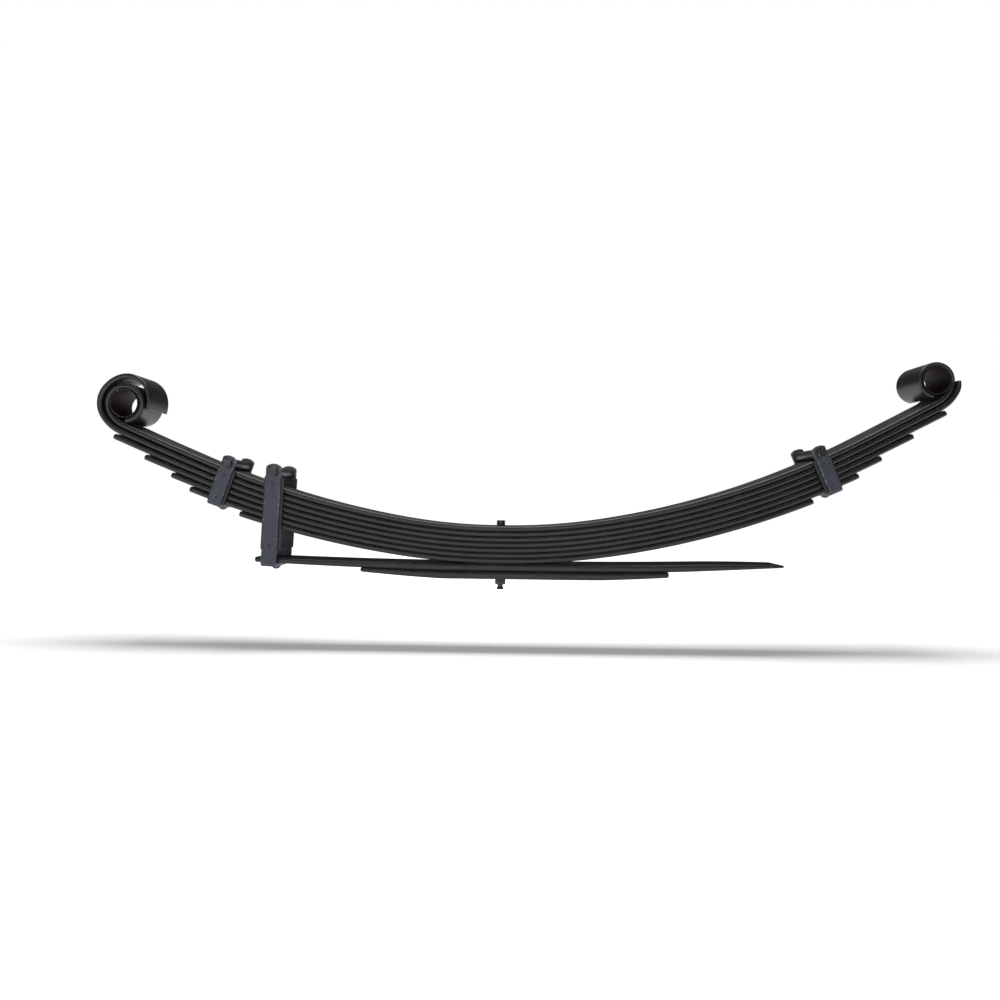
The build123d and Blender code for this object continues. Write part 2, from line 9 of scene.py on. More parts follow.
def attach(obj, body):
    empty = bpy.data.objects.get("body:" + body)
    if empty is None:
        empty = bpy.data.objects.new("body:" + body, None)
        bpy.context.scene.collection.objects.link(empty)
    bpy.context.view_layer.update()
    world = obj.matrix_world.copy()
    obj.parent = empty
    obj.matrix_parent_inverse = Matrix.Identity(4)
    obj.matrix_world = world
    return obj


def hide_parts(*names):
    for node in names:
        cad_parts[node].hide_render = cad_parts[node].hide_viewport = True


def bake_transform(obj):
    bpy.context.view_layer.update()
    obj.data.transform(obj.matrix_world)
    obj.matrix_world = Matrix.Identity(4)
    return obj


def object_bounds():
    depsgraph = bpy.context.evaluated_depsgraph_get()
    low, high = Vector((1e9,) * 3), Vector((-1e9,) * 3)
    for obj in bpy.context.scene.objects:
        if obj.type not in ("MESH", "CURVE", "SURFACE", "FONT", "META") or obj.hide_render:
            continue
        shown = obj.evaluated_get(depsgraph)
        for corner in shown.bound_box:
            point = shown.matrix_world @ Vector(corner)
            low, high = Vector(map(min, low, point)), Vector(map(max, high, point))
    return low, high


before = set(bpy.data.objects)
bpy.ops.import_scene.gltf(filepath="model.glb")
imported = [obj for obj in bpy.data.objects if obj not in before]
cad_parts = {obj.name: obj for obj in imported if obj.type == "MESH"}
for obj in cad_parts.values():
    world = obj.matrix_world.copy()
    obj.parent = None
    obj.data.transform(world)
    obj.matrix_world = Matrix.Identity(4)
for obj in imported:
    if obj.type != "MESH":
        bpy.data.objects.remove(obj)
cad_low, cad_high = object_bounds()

# Looks of a multi-leaf spring. Lengths are millimetres until mesh_object() turns them into metres.
# Origin: centre bolt axis on the top face of the main leaf. The long rear arm is +X.
MM = 0.001

# Main pack
LEAF_NAMES = ("main", "second", "third", "fourth", "fifth", "sixth", "seventh")
LEAF_WIDTH = 60.0
LEAF_THICKNESS = 8.0
SEAT_HALF_LENGTH = 8.0
FRONT_ARCS = ((879.0, 23.0), (1382.0, 16.5), (4300.0, 9.0))
REAR_ARCS = ((927.0, 14.5), (1280.0, 11.5), (20000.0, 9.0))
FRONT_BREAKS = (150.0, 450.0)
REAR_BREAKS = (150.0, 550.0)
FRONT_TIPS = {3: 586.5, 4: 539.5, 5: 499.0, 6: 471.0, 7: 395.5}
REAR_TIPS = {3: 670.0, 4: 621.0, 5: 573.5, 6: 539.5, 7: 471.5}
TIP_CORNER = 5.0
TIP_ROUND = 1.6
EDGE_BULGE = 3.4

# Eyes and wraps
FRONT_EYE = (568.7, 177.3)
REAR_EYE = (651.6, 228.7)
EYE_RADIUS = 22.0
EYE_ROOT_RADIUS = 40.0
WRAP_ROOT_RADIUS = 52.0
ROLL_RADIUS = {True: 30.0, False: 27.5}
ROLL_END = {True: 332.0, False: 323.0}
WRAP_INNER = {True: 33.7, False: 31.5}
WRAP_OUTER = {True: 41.7, False: 39.5}
WRAP_TAPER_FROM = {True: 180.0, False: 50.0}
WRAP_END = {True: 285.0, False: 90.0}
WRAP_TIP = {True: 3.0, False: 5.5}
WRAP_SWELL = 4.6
WRAP_SWELL_AT = 208.0
WRAP_SWELL_SPREAD = 78.0
ROLL_CORNER = 1.5
ROLL_ROUND = 0.8
SLEEVE_OUTER = 21.7
SLEEVE_BORE = 20.0
SLEEVE_LENGTH = 60.0

# Overload leaves
HELPER_TOP = -LEAF_THICKNESS * len(LEAF_NAMES)
HELPER_THICKNESS = 12.0
HELPER_CAMBER_RADIUS = 9630.0
HELPER_SEAT = 60.0
HELPER_GAP_RATE = 0.002
LONG_ENDS = (370.0, 427.0)
SHORT_ENDS = (211.0, 254.0)
LONG_TAPERS = ((90.0, 4.5, 1.0), (240.0, 8.56, 1.9))
SHORT_TAPERS = ((85.0, 6.2, 1.3), (150.0, 4.2, 1.2))
LONG_DROOP = (290.0, 4.2, 2.0)
HELPER_BULGE = 3.4
HELPER_CORNER = 5.0
LONG_ROUND = 1.5
SHORT_ROUND = 1.8

# Clips
STRAP_THICKNESS = 5.0
STRAP_INSIDE = 67.0
STRAP_EDGE = 0.8
STRAP_BEND = 1.0
EAR_RADIUS = 15.0
EAR_TOP = 12.0
EAR_SHOULDER = 1.2
EAR_STEPS = 9
STRAP_BEND_STEPS = 10
CLIP_WIDTH = 20.0
HELPER_CLIP_WIDTH = 22.5
CLIP_GAP = 0.3
HELPER_CLIP_GAP = 0.1
HELPER_BOLT_HEIGHT = 137.0
FRONT_CLIP_AT = 428.0
REAR_CLIP_AT = 498.0
HELPER_CLIP_AT = 346.0
SPACER_TO_LEAF = 1.0
SPACER_RADIUS = 6.5
SPACER_CLEAR = 0.1
LINER_THICKNESS = 2.5
LINER_OVERHANG = 3.3
LINER_CORNER = 1.5
LINER_EDGE = 0.45
LINER_BELOW_SPACER = 1.0
PACK_LINER_LOW = 1.2
HELPER_LINER_LOW = 20.0
STUD_FROM_LOW = 7.0
STUD_FROM_HIGH = 9.0
STUD_RADIUS = 2.0
STUD_REACH = 4.6
BOLT_RADIUS = 4.0
BOLT_HOLE = 4.3
BOLT_PITCH = 1.25
BOLT_PROUD = 3.0
HEAD_FLATS = 13.0
HEAD_HEIGHT = 5.3
NUT_HEIGHT = 6.5
WASHER_RADIUS = 8.5
WASHER_THICKNESS = 1.6
RIVET_RADIUS = 4.0
RIVET_HEAD_RADIUS = 7.5
RIVET_HEAD_HEIGHT = 6.8
RIVET_STEPS = 10
BOLT_TWIST = {"front_clip": 12.0, "rear_clip": 41.0, "helper_clip": 24.0}

# Hexagons: circle where the cone cuts the face, slope of the cone, soft edges and corners
HEX_FACE = 0.48
HEX_SLOPE = 0.58
HEX_EDGE = 0.15
HEX_RIM = 0.2
HEX_CORNER = 0.985
HEX_DISH = (0.72, 0.62)
HEX_DISH_DEPTH = 0.5
HEX_BORE_EDGE = 0.5
AXIS_HOLE = 0.05

# Centre bolt
CENTRE_HEAD_RADIUS = 6.5
CENTRE_HEAD_HEIGHT = 8.3
CENTRE_SHANK_RADIUS = 5.0
CENTRE_NECK_RADIUS = 4.0
CENTRE_FLARE_RADIUS = 5.7
CENTRE_END_LENGTH = 8.0
CENTRE_NUT_FLATS = 16.0
CENTRE_NUT_HEIGHT = 10.0

# Mesh fineness
RING_STEP = 5.0
SIDE_STEPS = 12
FACE_STEPS = 8
ROUND_STEPS = 3
TURNS = 72
SMOOTH_ANGLE = 38.0

# Edge curvature, in 1/m, at which wear begins and is full
WEAR_LOW = 150.0
WEAR_HIGH = 750.0

# Paints: name, base colour, second colour, roughness, chip level, dust and painted top sheen, orange peel,
# streaks, specular
EVEN = (1.0, 1.0, 1.0)
ROLLED = (0.12, 1.0, 1.0)
PAINTS = {
    "leaf": ("leaf_satin_black", (0.0072, 0.0072, 0.0082), (0.0125, 0.012, 0.0135),
             0.34, 0.77, 0.5, 0.8, ROLLED, 0.45),
    "helper": ("helper_satin_black", (0.0078, 0.0078, 0.0088), (0.013, 0.0125, 0.014),
               0.36, 0.76, 0.45, 0.8, ROLLED, 0.42),
    "clip": ("clip_blue_grey", (0.031, 0.0355, 0.051), (0.039, 0.0435, 0.062),
             0.46, 0.73, 0.15, 0.8, EVEN, 0.4),
    "spacer": ("spacer_grey_black", (0.016, 0.0165, 0.0175), (0.023, 0.023, 0.023),
               0.42, 0.78, 0.3, 1.0, EVEN, 0.5),
    "fastener": ("fastener_black", (0.013, 0.014, 0.017), (0.022, 0.023, 0.027),
                 0.26, 0.90, 0.1, 0.6, EVEN, 0.5),
    "liner": ("liner_dark_plastic", (0.014, 0.015, 0.019), (0.018, 0.0195, 0.025),
              0.58, 0.90, 0.08, 1.2, EVEN, 0.5),
    "sleeve": ("sleeve_brown_black", (0.008, 0.0055, 0.0045), (0.018, 0.0095, 0.0065),
               0.60, 0.80, 0.05, 1.0, EVEN, 0.15),
}
# Pale warm grey of upward faces: part settled dust, part painted sheen of light grazing the tops.
DUST_AND_SHEEN_COLOUR = (0.115, 0.108, 0.098, 1)
PRIMER = (0.26, 0.255, 0.25, 1)

# Studio, in metres from here on except FLOOR_DROP. The floor's glow grows with distance from the
# origin until it is as white as the room behind it. GLOW_SQUEEZE stretches that pattern along X.
FLOOR_DROP = 95.0
FLOOR_GLOW = 0.24
FAR_GLOW = 1.0
GLOW_FROM = 0.15
GLOW_FULL = 0.8
GLOW_SQUEEZE = 0.45
ROOM_LIGHT = 0.06
STAGE_HALF_WIDTH = 40.0
STAGE_NEAR = -5.0
STAGE_FAR = 40.0
STAGE_ROWS = 45
# Lights: name, place, target, width, depth, power in watts
LIGHTS = (("overhead", (0.0, -0.1, 1.9), (0.0, 0.0, 0.0), 1.7, 0.5, 38.0),
          ("camera_side", (-0.4, -2.1, 0.42), (0.0, 0.0, 0.05), 2.6, 0.3, 12.0))
CAMERA_PLACE = (-0.00205, -1.032, 0.0396)
CAMERA_ROLL = 0.014
NEAR_PLANE_DISTANCE = 1.002
NEAR_PLANE_HALF_WIDTH = 0.750
SENSOR = 36.0
CLIP_START = 0.05


# ---------------------------------------------------------------- meshes

def mesh_object(name, points, faces, flow=None):
    """Closed mesh object from points in millimetres, with a wear mark at its sharp convex edges."""
    mesh = bpy.data.meshes.new(name)
    mesh.from_pydata([[c * MM for c in p] for p in points], [], faces)
    finish_mesh(mesh, flow)
    thing = bpy.data.objects.new(name, mesh)
    bpy.context.scene.collection.objects.link(thing)
    return thing


def finish_mesh(mesh, flow):
    """Outward normals, smooth shading up to an angle, and the flow and wear attributes."""
    work = bmesh.new()
    work.from_mesh(mesh)
    bmesh.ops.recalc_face_normals(work, faces=work.faces)
    wear = [0.0] * len(work.verts)
    work.verts.index_update()
    for edge in work.edges:
        if len(edge.link_faces) == 2:
            bend = curvature(edge)
            for vertex in edge.verts:
                wear[vertex.index] = max(wear[vertex.index], bend)
    work.to_mesh(mesh)
    work.free()
    mesh.shade_smooth()
    mesh.set_sharp_from_angle(angle=radians(SMOOTH_ANGLE))
    marks = mesh.attributes.new("wear", "FLOAT", "POINT")
    span = WEAR_HIGH - WEAR_LOW
    marks.data.foreach_set("value", [min(1.0, max(0.0, (w - WEAR_LOW) / span)) for w in wear])
    lines = mesh.attributes.new("flow", "FLOAT_VECTOR", "POINT")
    if flow is None:
        flow = [v.co for v in mesh.vertices]
    lines.data.foreach_set("vector", [c for p in flow for c in p])


def curvature(edge):
    """Convex curvature across an edge, in 1/m."""
    bend = edge.calc_face_angle_signed(0.0)
    if bend <= 0:
        return 0.0
    first, second = (f.calc_center_median() for f in edge.link_faces)
    along = (edge.verts[1].co - edge.verts[0].co).normalized()
    across = second - first
    reach = (across - along * across.dot(along)).length
    return bend / max(reach, 2e-4)


def band(rings):
    """Quads between successive closed rings of equal length, as faces of a joined point list."""
    count = len(rings[0])
    faces = []
    for i in range(len(rings) - 1):
        for j in range(count):
            k = (j + 1) % count
            faces.append((i * count + j, i * count + k, (i + 1) * count + k, (i + 1) * count + j))
    return faces


def transformed(points, matrix):
    """Points in millimetres moved by a matrix whose translation is in millimetres."""
    return [matrix @ Vector(p) for p in points]


def rounded(profile, radius, steps=ROUND_STEPS):
    """Polyline with its inner corners turned into small curves."""
    out = [profile[0]]
    for a, b, c in zip(profile, profile[1:], profile[2:]):
        va, vb, vc = Vector(a), Vector(b), Vector(c)
        cut = min(radius, 0.45 * (va - vb).length, 0.45 * (vc - vb).length)
        start = vb + (va - vb).normalized() * cut
        end = vb + (vc - vb).normalized() * cut
        for i in range(steps + 1):
            t = i / steps
            p = start * (1 - t) ** 2 + vb * 2 * t * (1 - t) + end * t ** 2
            out.append(tuple(p))
    out.append(profile[-1])
    return out


def lathe(profile, turns=TURNS):
    """Points and faces of a turned solid about Z from (radius, z) pairs; ends on the axis or closes."""
    closed = profile[0][0] > 0
    points, faces, rings = [], [], []
    for r, z in profile:
        if r <= 1e-6:
            rings.append([len(points)])
            points.append((0.0, 0.0, z))
            continue
        rings.append(list(range(len(points), len(points) + turns)))
        points += [(r * cos(2 * pi * j / turns), r * sin(2 * pi * j / turns), z) for j in range(turns)]
    if closed:
        rings.append(rings[0])
    for a, b in zip(rings, rings[1:]):
        faces += joined(a, b, turns)
    return points, faces


def joined(a, b, turns):
    """Faces between two rings of point numbers, either of which may be a single point."""
    faces = []
    for j in range(turns):
        k = (j + 1) % turns
        if len(a) == 1:
            faces.append((a[0], b[j], b[k]))
        elif len(b) == 1:
            faces.append((a[j], b[0], a[k]))
        else:
            faces.append((a[j], b[j], b[k], a[k]))
    return faces


def plate(outline, holes, thickness, edge):
    """Flat plate in XY, centred on z = 0, with rounded edges.

    The outline runs anticlockwise, the holes clockwise."""
    loops = [outline] + holes
    levels = []
    half = thickness / 2
    for i in range(ROUND_STEPS + 1):
        a = pi / 2 * i / ROUND_STEPS
        levels.append((edge * (1 - sin(a)), half - edge + edge * cos(a)))
    levels += [(inset, -z) for inset, z in reversed(levels)]
    points, faces, top, bottom = [], [], [], []
    for loop in loops:
        rings = []
        for inset, z in levels:
            rings.append([(x, y, z) for x, y in offset(loop, inset)])
        base = len(points)
        faces += [tuple(base + n for n in face) for face in band(rings)]
        points += [p for ring in rings for p in ring]
        top.append(list(range(base, base + len(loop))))
        last = base + (len(levels) - 1) * len(loop)
        bottom.append(list(range(last, last + len(loop))))
    for side in (top, bottom):
        flat = [n for loop in side for n in loop]
        found = tessellate_polygon([[Vector(points[n]) for n in loop] for loop in side])
        faces += [tuple(flat[n] for n in triangle) for triangle in found]
    return points, faces


def offset(loop, distance):
    """Loop moved towards its left side by a distance."""
    if distance == 0:
        return list(loop)
    out = []
    for i, p in enumerate(loop):
        before = Vector(loop[i - 1])
        here = Vector(p)
        after = Vector(loop[(i + 1) % len(loop)])
        one = (here - before).normalized()
        two = (after - here).normalized()
        normal = Vector((-one.y - two.y, one.x + two.x))
        stretch = max(0.5, 0.5 * normal.length)
        out.append(tuple(here + normal.normalized() * distance / stretch))
    return out


def circle(centre, radius, count=40):
    """Clockwise circle, for a hole."""
    return [(centre[0] + radius * cos(2 * pi * i / count), centre[1] - radius * sin(2 * pi * i / count))
            for i in range(count)]


# ---------------------------------------------------------------- leaves

def polar(centre, radius, angle):
    """Point of a smile-shaped arc: angle 0 is its lowest point, 90 degrees its outboard side."""
    return (centre[0] + radius * sin(angle), centre[1] - radius * cos(angle))


def arm_arcs(leaf, front):
    """Underside of one arm as tangent arcs: [(centre, radius, start angle), ...]."""
    radii = [first + (leaf - 1) * growth for first, growth in (FRONT_ARCS if front else REAR_ARCS)]
    breaks = FRONT_BREAKS if front else REAR_BREAKS
    joint = (SEAT_HALF_LENGTH, -leaf * LEAF_THICKNESS)
    angle = 0.0
    arcs = []
    for index, radius in enumerate(radii):
        centre = (joint[0] - radius * sin(angle), joint[1] + radius * cos(angle))
        arcs.append((centre, radius, angle))
        if index < len(breaks):
            angle = asin((breaks[index] - centre[0]) / radius)
            joint = polar(centre, radius, angle)
    return arcs


def station(arcs, x):
    """Arc, and slope angle on it, of the underside at distance x from the centre bolt."""
    for centre, radius, start in reversed(arcs):
        angle = asin((x - centre[0]) / radius)
        if angle >= start:
            return centre, radius, angle
    return arcs[0][0], arcs[0][1], 0.0


def curl(line_centre, line_radius, eye, eye_radius, root_radius):
    """Arc that leaves the leaf line and runs tangent into a circle about the eye centre."""
    reach = line_radius - root_radius
    gap = root_radius - eye_radius
    dx, dz = eye[0] - line_centre[0], eye[1] - line_centre[1]
    span = hypot(dx, dz)
    along = (reach ** 2 - gap ** 2 + span ** 2) / (2 * span)
    across = sqrt(max(0.0, reach ** 2 - along ** 2))
    ux, uz = dx / span, dz / span
    for side in (1, -1):
        centre = (line_centre[0] + along * ux + side * across * uz,
                  line_centre[1] + along * uz - side * across * ux)
        start = atan2(centre[0] - line_centre[0], line_centre[1] - centre[1])
        end = atan2(eye[0] - centre[0], centre[1] - eye[1])
        if end >= start:
            break
    return centre, start, end


def leaf_spans(arcs, low_end, high_end):
    """Matched arcs of a leaf's underside and top face, up to their two end angles."""
    spans = []
    for index, (centre, radius, start) in enumerate(arcs):
        last = index == len(arcs) - 1 or arcs[index + 1][2] >= low_end
        low = low_end if last else arcs[index + 1][2]
        high = high_end if last else arcs[index + 1][2]
        top = radius - LEAF_THICKNESS
        spans.append(((centre, radius, radius, start, low), (centre, top, top, start, high)))
        if last:
            return spans
    return spans


def curled_spans(leaf, front, inside, outside, root, stop, thin=None):
    """Spans of an arm that rolls up about its eye; thin is (angle where it starts, tip thickness)."""
    arcs = arm_arcs(leaf, front)
    centre, radius, _ = arcs[-1]
    eye = FRONT_EYE if front else REAR_EYE
    thick = root + LEAF_THICKNESS
    low = curl(centre, radius, eye, outside, thick)
    high = curl(centre, radius - LEAF_THICKNESS, eye, inside, root)
    spans = leaf_spans(arcs, low[1], high[1])
    spans.append(((low[0], thick, thick, low[1], low[2]), (high[0], root, root, high[1], high[2])))
    begin = (low[2], high[2])
    tip = outside
    if thin:
        tip = inside + thin[1]
        if thin[0] > low[2]:
            spans.append(((eye, outside, outside, low[2], thin[0]), (eye, inside, inside, high[2], thin[0])))
            begin = (thin[0], thin[0])
    spans.append(((eye, outside, tip, begin[0], stop), (eye, inside, inside, begin[1], stop)))
    return spans


def arm_spans(leaf, front):
    """Spans of one arm of a main-pack leaf."""
    if leaf == 1:
        stop = roll_start(front) + radians(ROLL_END[front])
        return curled_spans(1, front, EYE_RADIUS, ROLL_RADIUS[front], EYE_ROOT_RADIUS, stop)
    if leaf == 2:
        thin = (radians(WRAP_TAPER_FROM[front]), WRAP_TIP[front])
        stop = radians(WRAP_END[front])
        return curled_spans(2, front, WRAP_INNER[front], WRAP_OUTER[front], WRAP_ROOT_RADIUS, stop, thin)
    arcs = arm_arcs(leaf, front)
    end = station(arcs, (FRONT_TIPS if front else REAR_TIPS)[leaf])[2]
    return leaf_spans(arcs, end, end)


def roll_start(front):
    """Slope angle at which the main leaf's top face leaves the leaf line for the eye."""
    centre, radius, _ = arm_arcs(1, front)[-1]
    eye = FRONT_EYE if front else REAR_EYE
    return curl(centre, radius - LEAF_THICKNESS, eye, EYE_RADIUS, EYE_ROOT_RADIUS)[1]


def arc_point(arc, f, swell=0.0):
    """Point at fraction f of an arc whose radius may change evenly and swell out past its top."""
    centre, r0, r1, a0, a1 = arc
    ease = f * f * (3 - 2 * f)
    angle = a0 + (a1 - a0) * f
    reach = min(1.0, abs(angle - radians(WRAP_SWELL_AT)) / radians(WRAP_SWELL_SPREAD))
    return polar(centre, r0 + (r1 - r0) * ease + swell * 0.5 * (1 + cos(pi * reach)), angle)


def tail_distances(corner, end_round):
    """Distances from a leaf's end at which its rounded corners need a ring."""
    rings = [corner * (1 - sin(radians(a))) for a in range(0, 90, 15)]
    rings += [end_round * (1 - sin(radians(a))) for a in range(0, 91, 15)]
    return sorted(set(round(d, 4) for d in rings), reverse=True)


def arm_rings(leaf, front):
    """Rings (underside point, top point, distance to the end) along one arm from the middle."""
    spans = arm_spans(leaf, front)
    corner, end_round = (TIP_CORNER, TIP_ROUND) if leaf > 2 else (ROLL_CORNER, ROLL_ROUND)
    rings = [((0.0, -leaf * LEAF_THICKNESS), (0.0, -(leaf - 1) * LEAF_THICKNESS), None)]
    for index, (low, high) in enumerate(spans):
        size = (low[1] + low[2]) / 2 * (low[4] - low[3])
        tail = []
        if index == len(spans) - 1:
            tail = [1 - d / size for d in tail_distances(corner, end_round)]
        step = min(RING_STEP, 0.13 * low[1])
        count = max(2, ceil(size / step))
        fractions = [i / count for i in range(count) if not tail or i / count < tail[0] - 0.4 / count]
        for f in fractions + tail:
            distance = (1 - f) * size if tail and f >= tail[0] - 1e-9 else None
            swell = WRAP_SWELL if leaf == 2 and front and index >= len(spans) - 2 else 0.0
            rings.append((arc_point(low, f, swell), arc_point(high, f, swell), distance))
    return rings, corner, end_round


def section(half_width, half_thick, bulge):
    """Points (y, n) round a leaf: flat faces joined by rounded side edges."""
    bulge = min(bulge, half_width)
    points = []
    for side in (1, -1):
        for i in range(SIDE_STEPS + 1):
            a = pi / 2 - pi * i / SIDE_STEPS
            points.append((side * (half_width - bulge + bulge * cos(a)), side * half_thick * sin(a)))
        for j in range(1, FACE_STEPS):
            y = (half_width - bulge) * (1 - 2 * j / FACE_STEPS)
            points.append((side * y, -side * half_thick))
    return points


def shrink(size, corner, distance):
    """Half size left at a distance from an end whose corners are rounded."""
    if distance is None or distance >= corner:
        return size
    return size - corner + sqrt(max(0.0, corner ** 2 - (corner - distance) ** 2))


def loft(name, rings, corner, end_round, bulge, seed):
    """Bar through rings of (underside point, top point, distance to its end)."""
    loops, flow = [], []
    run, last = 0.0, None
    around = around_lengths(bulge)
    for low, high, distance in rings:
        middle = ((low[0] + high[0]) / 2, (low[1] + high[1]) / 2)
        thick = hypot(high[0] - low[0], high[1] - low[1])
        nx, nz = (high[0] - low[0]) / thick, (high[1] - low[1]) / thick
        run += hypot(middle[0] - last[0], middle[1] - last[1]) if last else 0.0
        last = middle
        half_width = shrink(LEAF_WIDTH / 2, corner, distance)
        half_thick = shrink(thick / 2, end_round, distance)
        side = bulge * half_thick / (LEAF_THICKNESS / 2)
        loops.append([(middle[0] + nx * n, y, middle[1] + nz * n)
                      for y, n in section(half_width, half_thick, side)])
        flow += [(run * MM, u * MM, seed) for u in around]
    faces = band(loops)
    count = len(loops[0])
    faces.append(tuple(range(count)))
    faces.append(tuple(len(loops) * count - 1 - i for i in range(count)))
    return mesh_object(name, [p for loop in loops for p in loop], faces, flow)


def around_lengths(bulge):
    """Distance round the full section at each of its points."""
    points = section(LEAF_WIDTH / 2, LEAF_THICKNESS / 2, bulge)
    total, out = 0.0, []
    for i, p in enumerate(points):
        out.append(total)
        q = points[(i + 1) % len(points)]
        total += hypot(q[0] - p[0], q[1] - p[1])
    return out


def pack_leaf(leaf, front, paint):
    """One arm of a leaf of the main pack."""
    node = LEAF_NAMES[leaf - 1] + "_leaf"
    rings, corner, end_round = arm_rings(leaf, front)
    if front:
        rings = [((-a[0], a[1]), (-b[0], b[1]), d) for a, b, d in rings]
    piece = loft(node + ("_front_arm" if front else "_rear_arm"), rings, corner, end_round, EDGE_BULGE,
                 leaf * 1.7 + (0.6 if front else 0.0))
    piece.data.materials.append(paint)
    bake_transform(piece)
    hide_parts(node)


def eased(x, tip, taper):
    """Value that grows from 0 where a taper starts to its full amount at the tip.

    A taper is (start, full amount, exponent)."""
    start, amount, exponent = taper
    return amount * max(0.0, (x - start) / (tip - start)) ** exponent


def tapered(x, ends, tapers):
    """Thickness of an overload leaf at x."""
    side = 0 if x < 0 else 1
    return HELPER_THICKNESS - eased(abs(x), ends[side], tapers[side])


def long_top(x):
    """Top face of the long overload leaf."""
    rise = max(0.0, abs(x) - HELPER_SEAT) ** 2 / (2 * HELPER_CAMBER_RADIUS)
    return HELPER_TOP + rise - eased(x, LONG_ENDS[1], LONG_DROOP)


def long_bottom(x):
    """Underside of the long overload leaf."""
    return long_top(x) - tapered(x, LONG_ENDS, LONG_TAPERS)


def short_top(x):
    """Top face of the short overload leaf."""
    return long_bottom(x) - HELPER_GAP_RATE * max(0.0, abs(x) - HELPER_SEAT)


def short_bottom(x):
    """Underside of the short overload leaf."""
    return short_top(x) - tapered(x, SHORT_ENDS, SHORT_TAPERS)


def helper_leaf(node, top, bottom, ends, end_round, seed, paint):
    """One overload leaf."""
    tail = tail_distances(HELPER_CORNER, end_round)
    count = ceil((ends[0] + ends[1] - 2 * HELPER_CORNER) / RING_STEP)
    xs = [(-ends[0] + d, d) for d in reversed(tail)]
    run = ends[0] + ends[1] - 2 * HELPER_CORNER
    xs += [(-ends[0] + HELPER_CORNER + run * i / count, None) for i in range(1, count)]
    xs += [(ends[1] - d, d) for d in tail]
    rings = [((x, bottom(x)), (x, top(x)), d) for x, d in xs]
    piece = loft(node + "_bar", rings, HELPER_CORNER, end_round, HELPER_BULGE, seed)
    dress(piece, "leaf_pack", node, paint)


def dress(piece, body, node, material):
    """Material, body, node and slot of a rigid piece."""
    piece.data.materials.append(material)
    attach(piece, body)
    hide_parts(node)


# ---------------------------------------------------------------- clips

def pack_height(foot, angle, front):
    """Distance from a leaf's underside up its normal to the top face of the main leaf."""
    centre, radius, _ = arm_arcs(1, front)[1]
    nx, nz = -sin(angle), cos(angle)
    fx, fz = foot[0] - centre[0], foot[1] - centre[1]
    b = fx * nx + fz * nz
    return -b - sqrt(b * b - fx * fx - fz * fz + (radius - LEAF_THICKNESS) ** 2)


def clip_matrix(foot, angle, front):
    """Placement of a clip whose floor's inner face passes through foot."""
    side = -1 if front else 1
    return Matrix.Translation((side * foot[0], 0, foot[1])) @ Matrix.Rotation(-side * angle, 4, "Y")


def strap_outline(width, bolt_at):
    """Flat pattern of a strap, anticlockwise, along Y: straight sides and an arched ear at each end."""
    half = width / 2
    reach = asin(half / EAR_RADIUS)
    turns = [reach * (1 - i / EAR_STEPS) for i in range(2 * EAR_STEPS + 1)]
    arc = [(EAR_RADIUS * sin(a), EAR_RADIUS * cos(a)) for a in turns]
    top = [(x, bolt_at + EAR_TOP - EAR_RADIUS + y) for x, y in arc]
    return soft_corners(top + [(-x, -y) for x, y in top])


def soft_corners(loop):
    """Loop with each sharp corner cut into a small curve."""
    out = []
    for i, p in enumerate(loop):
        a, b, c = Vector(loop[i - 1]), Vector(p), Vector(loop[(i + 1) % len(loop)])
        one, two = (b - a).normalized(), (c - b).normalized()
        if one.angle(two) < radians(25):
            out.append(p)
            continue
        cut = min(EAR_SHOULDER, 0.45 * (b - a).length, 0.45 * (c - b).length)
        out += [tuple(b - one * cut), tuple(b + (two - one) * cut * 0.25), tuple(b + two * cut)]
    return out


def bent(point, arc_centre):
    """Point of the flat pattern (x, s, w), w outward, folded into the U of the strap."""
    x, s, w = point
    side = 1 if s >= 0 else -1
    radius = STRAP_BEND + STRAP_THICKNESS / 2
    turn = radius * pi / 2
    s = abs(s)
    if s <= arc_centre:
        return (x, side * s, -STRAP_THICKNESS / 2 - w)
    if s <= arc_centre + turn:
        a = (s - arc_centre) / radius
        return (x, side * (arc_centre + (radius + w) * sin(a)), STRAP_BEND - (radius + w) * cos(a))
    return (x, side * (arc_centre + radius + w), STRAP_BEND + s - arc_centre - turn)


def strap(name, width, bolt_height, liner_span, matrix):
    """U-shaped strap: a flat pattern with its holes, cut across at the bends and folded."""
    arc_centre = STRAP_INSIDE / 2 - STRAP_BEND
    turn = (STRAP_BEND + STRAP_THICKNESS / 2) * pi / 2
    base = arc_centre + turn - STRAP_BEND
    bolt_at = base + bolt_height
    holes = [circle((0, side * bolt_at), BOLT_HOLE) for side in (1, -1)]
    for z in stud_heights(*liner_span):
        holes += [circle((0, side * (base + z)), STUD_RADIUS + 0.1, 24) for side in (1, -1)]
    points, faces = plate(strap_outline(width, bolt_at), holes, STRAP_THICKNESS, STRAP_EDGE)
    work = bmesh.new()
    made = [work.verts.new(p) for p in points]
    for face in faces:
        work.faces.new([made[n] for n in face])
    cuts = [arc_centre + turn * i / STRAP_BEND_STEPS for i in range(STRAP_BEND_STEPS + 1)]
    cuts += [arc_centre * 0.5, 0.0, base + bolt_height * 0.5]
    for s in sorted({side * cut for cut in cuts for side in (1, -1)}):
        everything = list(work.verts) + list(work.edges) + list(work.faces)
        bmesh.ops.bisect_plane(work, geom=everything, plane_co=(0, s, 0), plane_no=(0, 1, 0))
    work.verts.index_update()
    points = [bent((v.co.x, v.co.y, v.co.z), arc_centre) for v in work.verts]
    faces = [tuple(v.index for v in f.verts) for f in work.faces]
    work.free()
    return mesh_object(name, transformed(points, matrix), faces)


def stud_heights(low, high):
    """Heights of the two liner studs."""
    return (low + STUD_FROM_LOW, high - STUD_FROM_HIGH)


